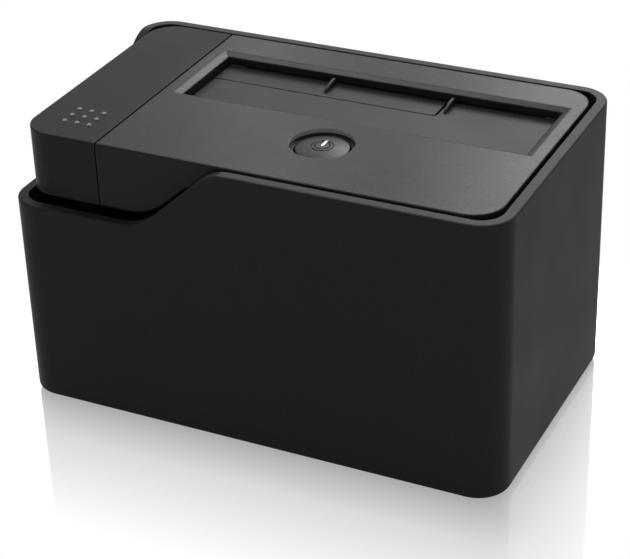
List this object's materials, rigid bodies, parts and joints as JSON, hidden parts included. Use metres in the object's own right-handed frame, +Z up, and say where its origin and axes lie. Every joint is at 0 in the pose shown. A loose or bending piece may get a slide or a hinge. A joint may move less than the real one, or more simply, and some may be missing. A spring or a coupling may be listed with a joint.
{
  "type": "hard drive docking station",
  "caption": "Desktop dock for a bare 3.5 or 2.5 inch drive: bevelled slot with sprung flaps, wide eject button, round power button, data and power sockets at the rear.",
  "frame": {"origin": "middle of the footprint, on the plane that the rubber feet stand on", "axes": "+X to the right along the front, +Y from the front to the rear sockets, +Z up"},
  "size_m": [0.15, 0.09, 0.0865],
  "materials": {
    "shell_plastic": "fine grain, near black",
    "cover_plastic": "fine grain, dark grey",
    "flap_plastic": "satin, dark grey",
    "power_plastic": "satin, dark grey",
    "light_white": "translucent white",
    "base_plastic": "fine grain, black",
    "bay_plastic": "satin, black",
    "lever_plastic": "natural, slippery",
    "foot_rubber": "matte",
    "steel": "bright",
    "spring_steel": "drawn wire",
    "circuit_board": "solder mask, green",
    "connector_plastic": "glass filled, black",
    "contact_gold": "plated",
    "socket_metal": "tin plated",
    "chip_plastic": "moulded, black",
    "can_aluminium": "satin",
    "coil_ferrite": "ferrite, dark grey",
    "cable_grey": "ribbed, grey",
    "plug_white": "ivory"
  },
  "bodies": {
    "dock": {"outer_shell": "shell_plastic", "base_plate": "base_plastic", "rubber_feet": "foot_rubber", "base_screws": "steel", "bay_screws": "steel", "drive_bay": "bay_plastic", "lever_pin": "steel", "top_cover": "cover_plastic", "cover_screws": "steel", "eject_springs": "spring_steel", "flap_rod": "steel", "flap_small_spring": "spring_steel", "flap_large_spring": "spring_steel", "switch_board": "circuit_board", "switch_board_screws": "steel", "tact_switch": "chip_plastic", "power_led": "light_white", "main_board": "circuit_board", "board_screws": "steel", "sata_connector": "connector_plastic", "sata_contacts": "contact_gold", "usb_port": "socket_metal", "esata_port": "socket_metal", "dc_jack": "connector_plastic", "bridge_chip": "chip_plastic", "regulator_chip": "chip_plastic", "crystal": "can_aluminium", "power_inductor": "coil_ferrite", "capacitors": "can_aluminium", "cable_plugs": "plug_white", "switch_cable": "cable_grey"},
    "eject_button": {"eject_button": "cover_plastic"},
    "eject_lever": {"eject_lever": "lever_plastic"},
    "flap_large": {"flap_large": "flap_plastic"},
    "flap_small": {"flap_small": "flap_plastic"},
    "power_button": {"power_button": "power_plastic", "power_light_bar": "light_white", "switch_plunger": "chip_plastic"}
  },
  "joints": [
    {"name": "eject_press", "type": "slide", "parent": "dock", "child": "eject_button", "axis": [0, 0, -1], "range_m": [0, 0.003], "stiffness_N_per_m": 600, "springref_m": -0.003, "deforming": ["eject_springs"]},
    {"name": "eject_lever_pivot", "type": "hinge", "parent": "dock", "child": "eject_lever", "pos_m": [-0.0482, 0.019, 0.0165], "axis": [0, -1, 0], "range_deg": [0, 13.4]},
    {"name": "flap_large_hinge", "type": "hinge", "parent": "dock", "child": "flap_large", "pos_m": [0.01265, 0.0295, 0.0814], "axis": [1, 0, 0], "range_deg": [0, 88], "stiffness_Nm_per_rad": 0.004, "springref_deg": -34.38},
    {"name": "flap_small_hinge", "type": "hinge", "parent": "dock", "child": "flap_small", "pos_m": [-0.005, 0.0295, 0.0814], "axis": [1, 0, 0], "range_deg": [0, 88], "stiffness_Nm_per_rad": 0.001, "springref_deg": -34.38},
    {"name": "power_press", "type": "slide", "parent": "dock", "child": "power_button", "axis": [0, 0, -1], "range_m": [0, 0.0008], "stiffness_N_per_m": 300, "springref_m": -0.001}
  ],
  "couplings": [
    {"joint": "eject_lever_pivot", "follows": "eject_press", "rad_per_m": 77.623}
  ]
}
